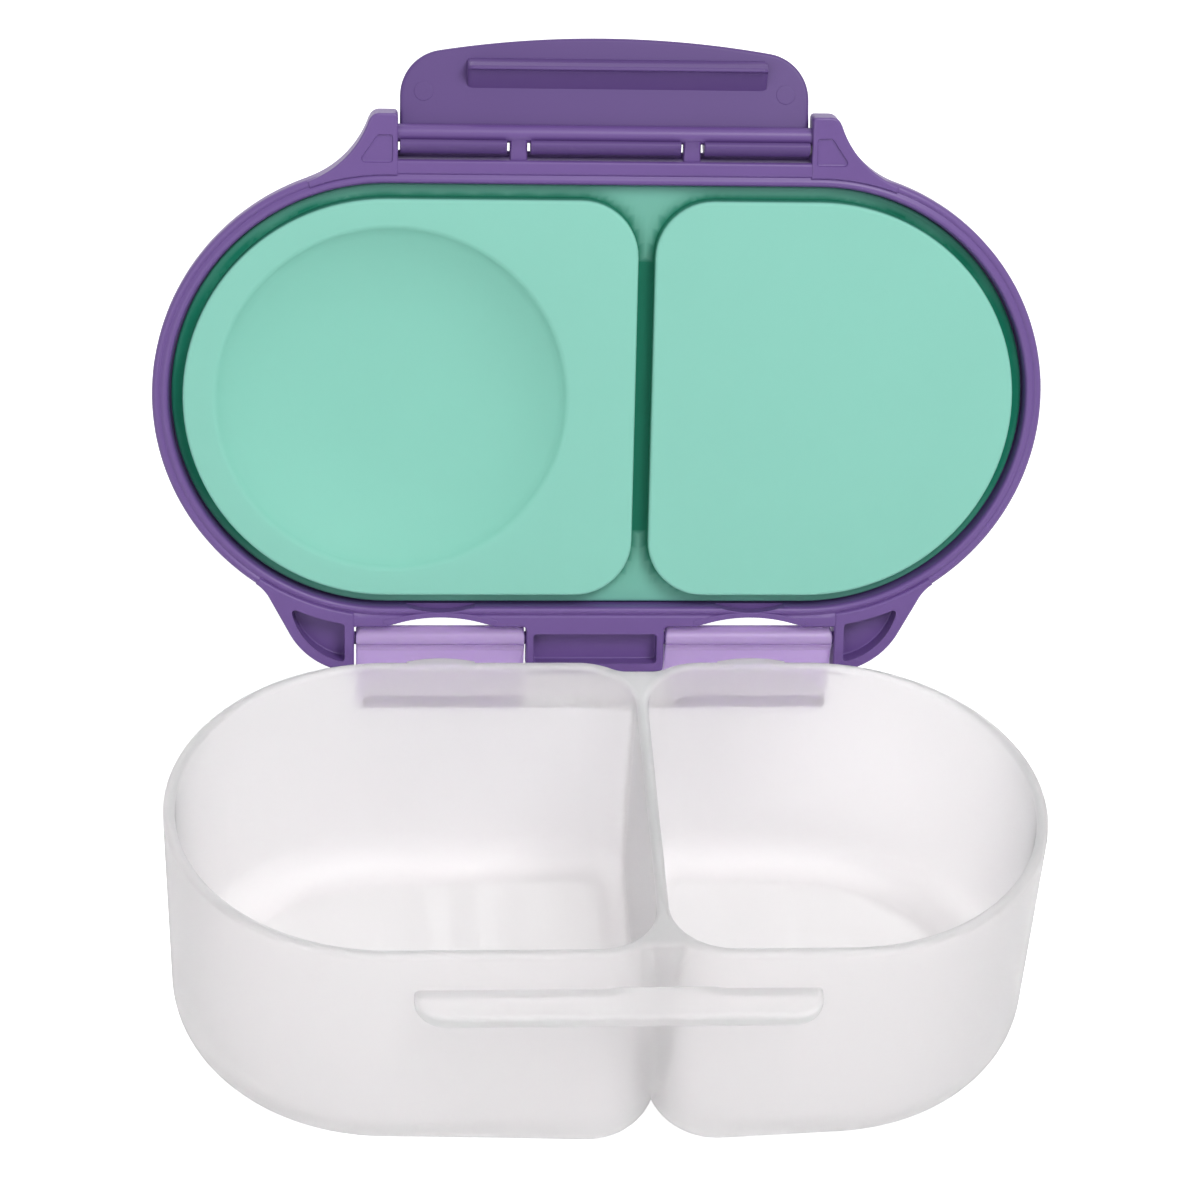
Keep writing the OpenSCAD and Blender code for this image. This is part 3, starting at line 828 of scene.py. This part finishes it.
class SNACK_OT_lid_frame(bpy.types.Operator):
    """Makes the lid's frame: rim, top plate with its window, lugs, rods and posts"""

    bl_idname = "snack.lid_frame"
    bl_label = "Lid frame"

    def execute(self, context):
        tub, s, plastic = given(context, "purple_polypropylene_lid")
        middle = np.array([tub.end_offset, 0])
        low, high = s.skirt_bottom, s.top - 0.4
        below, strip_edge = low - 2, HINGE_Y - s.hinge_rod - 1.7
        lid = swept_rim("lid_frame_moulding", stadium(tub.end_offset, s.radius, 16),
                        lid_rim_profile(s), plastic)
        plate, bars, lugs, small, rods, hollows = (Shape() for _ in range(6))
        plate.plate(stadium(tub.end_offset, s.bead_inside + 0.2, 16), s.top - s.plate, s.top, 0, 0,
                    holes=[circle((-s.dish_offset, 0), s.window, DISH_STEPS)])
        # The strip behind the seal with the block, and the bar before the latch with its ledge
        bar, far = s.valley + 3.1, s.front_lug + 0.6
        bars.plate(strip_outline(s, strip_edge), low - 0.05, high, 0.5, 0.5)
        bars.plate(rectangle(-far, far, -bar, -s.valley), low - 0.05, high, 0.7, 0.5)
        small.plate(rectangle(-far, far, -bar - 1.1, 1 - bar), high - 1.3, high - 0.02, 0.4, 0.4)
        # The lugs and the shallow hollows in them
        near, front, back = s.front_lug + 1, LATCH_Y - 0.1, LATCH_Y + 5.7
        hollow = rounded([(near, front, 0.7), (near + 3.2, front, 1), (near + 7.2, back, 0.8),
                          (near, back, 0.7)])
        for turn in (np.asarray, mirrored):
            lugs.plate(turn(rear_lug_outline(s, middle)), low - 0.25, high, 0.55, 0.6)
            lugs.plate(turn(front_lug_outline(s, middle)), low - 0.25, high, 0.5, 0.5)
            hollows.plate(turn(rear_pocket_outline(s, middle)), below, high - 2, 0, 0.3)
            hollows.plate(turn(hollow), below, low + 0.25, 0, 0.45)
        # The posts of the latch's rod
        half = s.post_width / 2
        for x in (-s.post_offset, s.post_offset):
            small.plate(rectangle(x - half, x + half, LATCH_Y - 1, LATCH_Y + 6.8, 1.2),
                        AXIS_HEIGHT - 1.5, AXIS_HEIGHT + 1.5, 0.6, 0.6)
        # The low arch, the relief and the room for the tub's rim lug, before each clip
        for x in (-tub.lug_offset, tub.lug_offset):
            small.plate(ridge_outline(x), low - 0.2, low + 1.5, 0.15, 0)
            hollows.plate(relief_outline(x, strip_edge), below, s.top + 2, 0, 0)
            hollows.plate(rim_lug_outline(tub, x, tub.rim_radius - 0.5, 0.2), below,
                          AXIS_HEIGHT + 0.2, 0, 0)
        # The hollow in the block
        half = s.block_half - 1.5
        hollows.plate(rectangle(-half, half, HINGE_Y - 1.6, s.lug_end - 2, 0.8, 0.8), below,
                      low + 3.6, 0, 0.3)
        # The rods end inside the lugs and the block
        inner, outer = s.block_half - 1, s.lug_inside + 1
        for y, radius, x0, x1 in ((LATCH_Y, s.latch_rod, -far, far),
                                  (HINGE_Y, s.hinge_rod, inner, outer),
                                  (HINGE_Y, s.hinge_rod, -outer, -inner)):
            rods.plate(circle((y, AXIS_HEIGHT), radius, 40), x0, x1, 0.2, 0.2)
        parts = [finish(f"lid_part_{k}", part, plastic)
                 for k, part in enumerate((plate, bars, lugs, small, rods.across()))]
        combined(lid, parts)
        combined(lid, [finish("hollows", hollows, plastic)], "DIFFERENCE")
        moved(smoothed(lid), on_lid)
        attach(lid, "lid")
        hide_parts("lid_frame")
        return {"FINISHED"}


# ---- seal


def distance_to(outlines, points):
    """How far each point lies from the nearest point of the outlines, seen from above."""
    edge = np.vstack(outlines)
    return np.sqrt(((points[:, None, :2] - edge[None]) ** 2).sum(2)).min(1)


def points_between(s, middle, outlines, height):
    """Points on nested lines between the seal's edge and its panels, so that the painted shade can
    change from one to the next."""
    points = np.vstack([stadium(middle, s.seal_radius - step, 80)
                        for step in (1.1, 1.6, 2.0, 2.9, 3.8, 5.8, 8.8, 11.8, 14.8)])
    points = points[distance_to(outlines, points) > 0.25]
    return np.column_stack([points, np.full(len(points), height)])


def painted_shade_at(where, s, middle, outlines, lip):
    """Painted shade at each point beside the panels: 0 on the faces, 1 where hardly any light
    comes.
    """
    height = where[:, 2] - s.panel_bottom
    # Painted shade: on the panels' sides it grows with the depth, on the edge behind them it fades
    # outwards
    wall_shade = np.interp(height, [0.25, 0.8, 1.6, 4.1], [0, 0.6, 0.85, 0.95])
    away = distance_to(outlines, where)
    # The edge's painted shade is also darker towards the round ends
    past = np.maximum(np.abs(where[:, 0]) - middle, 0)
    sideways = past / np.maximum(np.hypot(past, where[:, 1]), 1)
    flange_shade = np.interp(away, [0.15, 1.2, 2.5], [0.95, 0.45, 0.3]) + 0.6 * sideways
    value = np.clip(np.where((height > 4.0) & (away > 0.1), flange_shade, wall_shade), 0, 1)
    value[np.hypot(where[:, 0] + s.dish_offset, where[:, 1]) < lip + 0.1] = 0
    return value.astype(np.float32)


def dish_profile(s, lip, top):
    """(radius, height) pairs of the dish's face, from its lip over a soft shoulder to the middle,
    and of its back: steep at the shoulder and nearly flat in the middle."""
    power, soft, face = 3.2, 2.6, s.panel_bottom
    depth = s.dish_depth * 0.94

    def height(radius):
        return face + depth * (1 - (radius / s.dish_radius) ** power)

    start = s.dish_radius - 1.4
    slope = math.atan(power * depth / s.dish_radius * (start / s.dish_radius) ** (power - 1))
    drop = height(start) - face
    shoulder = [(start + soft * math.sin(slope) - soft * math.sin(a), soft * (1 - math.cos(a)))
                for a in np.linspace(0, slope, 8)]
    stretch = drop / shoulder[-1][1]
    front = [(lip, face)] + [(r, face + h * stretch) for r, h in shoulder]
    front += [(r, height(r)) for r in np.linspace(start, 0, 26)[1:]]
    back = [(r, height(r) + 1.4) for r in np.linspace(0, s.dish_radius - 0.5, 24)]
    return front, back + [(back[-1][0], top)]


class SNACK_OT_seal(bpy.types.Operator):
    """Makes the silicone seal: its edge, two panels with the groove between them, and the dish"""

    bl_idname = "snack.seal"
    bl_label = "Seal"

    def execute(self, context):
        tub, s, rubber = given(context, "mint_silicone")
        shape = Shape()
        panel_depth, edge_thick = 4.1, 1.4
        low = s.panel_bottom + panel_depth
        high = low + edge_thick
        dish, lip = (-s.dish_offset, 0), s.dish_radius + 1.9
        hole = shape.ring(circle(dish, lip, DISH_STEPS), s.panel_bottom)
        outlines = [compartment_outline(side, tub.divider_x + side * s.groove / 2, tub.end_offset,
                                        s.panel_radius, tub.corner, 56) for side in (-1, 1)]
        rows = [(i, s.panel_bottom + h) for i, h in edge_steps(s.panel_round, 8)]
        rows += [(0, s.panel_bottom + h) for h in (1.2, 2.2, 3.2, panel_depth)]
        feet = []
        for outline, holes in zip(outlines, ([hole], [])):  # the left panel holds the dish
            face, foot = shape.inset_wall(outline, rows)
            shape.cap([face, *holes], up=False)
            feet.append(foot)
        rows = [(i, low + h) for i, h in edge_steps(0.6)]
        rows += [(0, high - 0.3), (0.09, high - 0.09), (0.3, high)]
        under, over = shape.inset_wall(stadium(tub.end_offset, s.seal_radius, 80), rows)
        shape.cap([under, *feet], up=False,
                  between=points_between(s, tub.end_offset, outlines, low))
        front, back = dish_profile(s, lip, high)
        well = shape.ring(circle(dish, back[-1][0], DISH_STEPS), high)
        shape.cap([over, well], up=True)
        for profile in (front, back):  # the points in the middle merge when the mesh is finished
            shape.wall([circle(dish, radius, DISH_STEPS) for radius, _ in profile],
                       [height for _, height in profile])
        seal = finish("seal_moulding", shape, rubber, merge=0.001)
        # Painted shade in the grooves, stored in the "depth" attribute that the seal's material
        # reads
        depth = seal.data.attributes.new("depth", "FLOAT", "POINT")
        depth.data.foreach_set("value", painted_shade_at(points_of(seal.data), s, tub.end_offset, outlines,
                                                 lip))
        moved(seal, on_lid)
        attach(seal, "lid")
        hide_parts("seal")
        return {"FINISHED"}


# ---- latch


def latch_outline(s):
    """Outline (x, along the plate) of the latch's plate."""
    half, rise, corner, start = s.latch_width / 2, 4.2, 9.5, -1.3
    bow = (half * half + rise * rise) / (2 * rise)
    middle = bow - s.latch_length
    cx = half - corner
    cv = middle - math.sqrt((bow - corner) ** 2 - cx * cx)
    spread = math.degrees(math.atan(cx / (middle - cv)))
    return np.vstack([[[-half, start]], arc((-cx, cv), corner, 180, 270 - spread, 14),
                      arc((0, middle), bow, 270 - spread, 270 + spread, 32)[1:-1],
                      arc((cx, cv), corner, 270 + spread, 360, 14), [[half, start]]])


def knuckle_section(outer, bore, face):
    """Section of a knuckle about its axis: a hook over the rod with round lips, and its foot in the
    plate whose inner face lies at -face."""
    # Lift of the hook's middle, its lips' height over the axis, and the lips' two roundings
    rise, mouth, soft, fine = 0.7, 1.5, 0.9, 0.6
    y1 = math.sqrt((outer - soft) ** 2 - (mouth + soft - rise) ** 2)
    a1 = math.degrees(math.atan2(mouth + soft - rise, y1))
    y2 = math.sqrt((bore + fine) ** 2 - (mouth + fine) ** 2)
    a2 = math.degrees(math.atan2(mouth + fine, y2))
    inside = -face - 0.3
    foot = 180 + math.degrees(math.acos(-inside / bore))
    return np.vstack([arc((y1, mouth + soft), soft, -90, a1, 8), arc((0, rise), outer, a1, 180, 28),
                      arc((0, 0), outer, 180, 199.5, 5), [[0.22 - outer, -4]], [[inside, -4]],
                      arc((0, 0), bore, foot, a2, 28),
                      arc((y2, mouth + fine), fine, a2 + 180, 270, 6)])


class SNACK_OT_latch(bpy.types.Operator):
    """Makes the latch: its plate, the catching rib and the knuckles around the lid's front rod"""

    bl_idname = "snack.latch"
    bl_label = "Latch"

    def execute(self, context):
        _, s, plastic = given(context, "purple_polypropylene_latch_painted_shade")
        knuckle, step = s.latch_rod + 1.65, 0.2
        outer_face = knuckle - step
        inner_face = outer_face - s.latch_plate
        plate, marks, knuckles, rib = (Shape() for _ in range(4))
        plate.plate(latch_outline(s), inner_face, outer_face, 0.7, 0.9)
        # Two flat round marks, as ejector pins leave them
        for x in (-37.2, 37.2):
            marks.plate(circle((x, -8.6), 1.95, 32), inner_face - 0.09, inner_face + 0.2, 0.08, 0)
        half, post, gap = s.latch_width / 2, s.post_offset, 2.4
        section = knuckle_section(knuckle, s.latch_rod + 0.08, inner_face)
        for x0, x1 in ((-half, -post - gap), (-post + gap, post - gap), (post + gap, half)):
            knuckles.plate(section, x0, x1, 0.25, 0.25)
        # The rib's section (away from the plate, along it, corner radius) shrinks at both ends
        section = rounded([(-1.4, -15.6, 0), (2.3, -14.3, 1.0), (3.5, -13.35, 0.45),
                           (3.5, -12.7, 0.2), (2.35, -12.7, 0.5), (-1.4, -8.95, 0)])
        root, length_over_root = np.array([-1.4, -12.9]), np.array([4.9, 8])
        sections, places = [], []
        rib_middle, rib_half = 2.5, 30.75
        for end, way in ((rib_middle - rib_half, 1), (rib_middle + rib_half, -1)):
            for i, h in edge_steps(1.2, 6)[::way]:
                sections.append(root + (section - root) * (1 - i / length_over_root))
                places.append(end + way * h)
        rib.stack(sections, places)
        parts = [finish(f"latch_part_{k}", part, plastic)
                 for k, part in enumerate((plate, marks, knuckles.across(), rib.across()))]
        # The plate and its marks were made in plan; they hang down, their thickness towards -Y
        for part in parts[:2]:
            moved(part, lambda p: p[:, [0, 2, 1]] * (1, -1, 1))
        latch = combined(parts[0], parts[1:])
        latch.name = "latch_flap"
        moved(smoothed(latch), on_latch)
        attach(latch, "latch")
        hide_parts("latch")
        return {"FINISHED"}


# ---- hinge clips


def clip_section(s, trim, lowered):
    """Section (y, z) of a hinge clip about its rod's axis: C-shaped knuckle, thick upper part,
    plate and hook, all drawn in by trim, and the knuckle's top lowered."""
    thick_end, hook_high, hook_low = -8.3 + trim, -12.7 - trim, -15.3
    knuckle, rod = s.hinge_rod + 1.3 - trim, s.hinge_rod + 0.08
    face, back, front, hook = 0.2 + trim, 2.4 - trim, trim - 1.9, trim - 1.2
    slot_low, slot_top = 0.1 - trim * 0.5, 0.4 + trim * 0.5

    def angle(height, radius):
        return 180 - math.degrees(math.asin(height / radius))

    low = 180 + math.degrees(math.acos(-front / knuckle))
    right = -math.degrees(math.acos(back / knuckle))
    points = np.vstack([
        arc((0, 0), knuckle, angle(slot_low, knuckle), low, 6),
        rounded([(front, -3, 0), (front, thick_end, 0.5), (face, thick_end, 0.5),
                 (face, hook_high, 0.3), (hook, hook_high, 0.3), (hook, hook_low + 0.8, 0.5),
                 (face, hook_low - 0.4, 0.3), (face, trim - s.clip_length, 0.5),
                 (back, trim - s.clip_length, 0.8), (back, -3, 0)], 12),
        arc((0, 0), knuckle, right, angle(slot_top, knuckle), 34),
        arc((0, 0), rod, angle(slot_top, rod), angle(slot_low, rod) - 360, 32)])
    points[:, 1] = np.minimum(points[:, 1], s.hinge_rod + 1.3 - lowered)
    return points


class SNACK_OT_hinge_clips(bpy.types.Operator):
    """Makes the two hinge clips behind the tub"""

    bl_idname = "snack.hinge_clips"
    bl_label = "Hinge clips"

    def execute(self, context):
        tub, s, plastic = given(context, "lilac_polypropylene")
        fine, soft = 0.35, 1.1  # rounding of the ends all round, and of the knuckle's top
        depths = np.array([h for _, h in edge_steps(fine)] + list(np.linspace(fine, soft, 6)[1:]))
        trims = fine - np.sqrt(fine ** 2 - np.maximum(fine - depths, 0) ** 2)
        lowered = soft - np.sqrt(soft ** 2 - (soft - depths) ** 2)
        sections = [clip_section(s, t, d) for t, d in zip(trims, lowered)]
        half = s.clip_width / 2
        for side, name in ((-1, "left"), (1, "right")):
            x = side * tub.lug_offset
            shape = Shape().stack(sections + sections[::-1],
                                  [*(x - half + depths), *(x + half - depths[::-1])])
            clip = finish(f"hinge_clip_{name}_moulding", shape.across(), plastic)
            moved(smoothed(clip), lambda p: p + (0, HINGE_Y, AXIS_HEIGHT))
            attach(clip, f"clip_{name}")
            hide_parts(f"hinge_clip_{name}")
        return {"FINISHED"}


# ---- stage


def area_light(name, place, size, power):
    """A round white lamp that points at the object's middle."""
    data = bpy.data.lights.new(name, "AREA")
    data.shape, data.size, data.energy = "DISK", size, power
    lamp = placed(name, data)
    lamp.location = place
    aim = Vector((0, 0, 0.08)) - Vector(place)
    lamp.rotation_euler = aim.to_track_quat("-Z", "Y").to_euler()


def seen_directly(tree):
    """1 for camera rays and for rays that come by a mirror or through the tub, else 0."""
    path = add_node(tree, "ShaderNodeLightPath")
    through = add_node(tree, "ShaderNodeMath",
                       {0: path.outputs["Is Glossy Ray"], 1: path.outputs["Is Transmission Ray"]},
                       operation="MAXIMUM")
    return add_node(tree, "ShaderNodeMath",
                    {0: path.outputs["Is Camera Ray"], 1: through.outputs[0]},
                    operation="MAXIMUM").outputs[0]


class SNACK_OT_stage(bpy.types.Operator):
    """Makes the pale floor, the soft studio light and the camera"""

    bl_idname = "snack.stage"
    bl_label = "Stage"

    def execute(self, context):
        scene = context.scene
        scene.view_settings.view_transform = "Standard"
        # White paper sweep: seen directly it is plain white, and it keeps the object's shadow.
        material, tree = new_material("matt_white_paper")
        white = linear(scene.snack_colours.floor)
        grain = add_node(tree, "ShaderNodeTexNoise", {"Scale": 400.0})
        bump = add_node(tree, "ShaderNodeBump", {"Height": grain.outputs["Fac"], "Strength": 0.05,
                                                 "Distance": 0.0002})
        paper = add_node(tree, "ShaderNodeBsdfDiffuse",
                         {"Color": white, "Normal": bump.outputs["Normal"]})
        path = add_node(tree, "ShaderNodeLightPath")
        lift = add_node(tree, "ShaderNodeMath", {0: path.outputs["Is Camera Ray"], 1: 0.2, 2: 0.4},
                        operation="MULTIPLY_ADD")
        glow = add_node(tree, "ShaderNodeEmission", {"Color": white, "Strength": lift.outputs[0]})
        bright = add_node(tree, "ShaderNodeAddShader", {0: paper.outputs[0], 1: glow.outputs[0]})
        plain = add_node(tree, "ShaderNodeBsdfDiffuse", {"Color": (0.8, 0.8, 0.8, 1)})
        chosen = add_node(tree, "ShaderNodeMixShader",
                          {0: seen_directly(tree), 1: plain.outputs[0], 2: bright.outputs[0]})
        add_node(tree, "ShaderNodeOutputMaterial", {"Surface": chosen.outputs[0]})
        shape = Shape()
        shape.ring(np.array([(-1, -1), (1, -1), (1, 1), (-1, 1)]) * 3000, 0)
        shape.faces = [(0, 1, 2, 3)]
        finish("floor", shape, material)
        scene.world = bpy.data.worlds.new("studio")
        scene.world.use_nodes = True
        sky = scene.world.node_tree
        sky.nodes.clear()
        soft, bright = (add_node(sky, "ShaderNodeBackground",
                                 {"Color": (1, 1, 1, 1), "Strength": strength})
                        for strength in (0.45, 1.0))
        mixed = add_node(sky, "ShaderNodeMixShader",
                         {0: seen_directly(sky), 1: soft.outputs[0], 2: bright.outputs[0]})
        add_node(sky, "ShaderNodeOutputWorld", {"Surface": mixed.outputs[0]})
        # A key from the front right, a fill from the front left, and a lamp for the back
        area_light("key", (0.35, -0.45, 1.0), 0.5, 5.6)
        area_light("fill", (-0.6, -0.9, 0.5), 0.8, 2.0)
        area_light("back", (-0.3, 1.0, 0.8), 0.8, 2.5)
        # The photograph's view: direction and roll of the camera, and its distance from the aim
        camera = placed("camera", bpy.data.cameras.new("camera"))
        camera.data.lens, camera.data.sensor_width = 101.961, 36.0
        camera.data.sensor_fit = "HORIZONTAL"
        camera.data.clip_start, camera.data.clip_end = 0.01, 20
        az, el, roll = (math.radians(a) for a in (-5.122, 37.705, 3.175))
        back = Vector((math.sin(az) * math.cos(el), -math.cos(az) * math.cos(el), math.sin(el)))
        right = Vector((math.cos(az), math.sin(az), 0))
        up = back.cross(right)
        right, up = (right * math.cos(roll) + up * math.sin(roll),
                     up * math.cos(roll) - right * math.sin(roll))
        aim, distance = Vector((-0.003977, 0, 0.107162)), 0.654265
        camera.matrix_world = Matrix.Translation(aim + back * distance) @ Matrix(
            (right, up, back)).transposed().to_4x4()
        scene.camera = camera
        return {"FINISHED"}


class SNACK_PT_panel(bpy.types.Panel):
    """Lists the sizes, the colours and what can be made"""

    bl_idname = "SNACK_PT_panel"
    bl_label = "Snack container"
    bl_space_type = "VIEW_3D"
    bl_region_type = "UI"
    bl_category = "Snack container"

    def draw(self, context):
        scene = context.scene
        for group in (scene.snack_tub, scene.snack_lid, scene.snack_colours):
            box = self.layout.box()
            for name in names_in(group):
                box.prop(group, name)
        for step in STEPS:
            self.layout.operator(step.bl_idname)


STEPS = (SNACK_OT_stage, SNACK_OT_tub, SNACK_OT_lid_frame, SNACK_OT_seal, SNACK_OT_latch,
         SNACK_OT_hinge_clips)
CLASSES = (SnackTubSizes, SnackLidSizes, SnackColours, *STEPS, SNACK_PT_panel)


def register():
    for cls in CLASSES:
        bpy.utils.register_class(cls)
    bpy.types.Scene.snack_tub = PointerProperty(type=SnackTubSizes)
    bpy.types.Scene.snack_lid = PointerProperty(type=SnackLidSizes)
    bpy.types.Scene.snack_colours = PointerProperty(type=SnackColours)


def unregister():
    del bpy.types.Scene.snack_tub, bpy.types.Scene.snack_lid, bpy.types.Scene.snack_colours
    for cls in reversed(CLASSES):
        bpy.utils.unregister_class(cls)


def main():
    register()
    bpy.ops.snack.stage()
    bpy.ops.snack.tub()
    bpy.ops.snack.lid_frame()
    bpy.ops.snack.seal()
    bpy.ops.snack.latch()
    bpy.ops.snack.hinge_clips()
    bpy.context.view_layer.update()


if __name__ == "__main__":
    main()
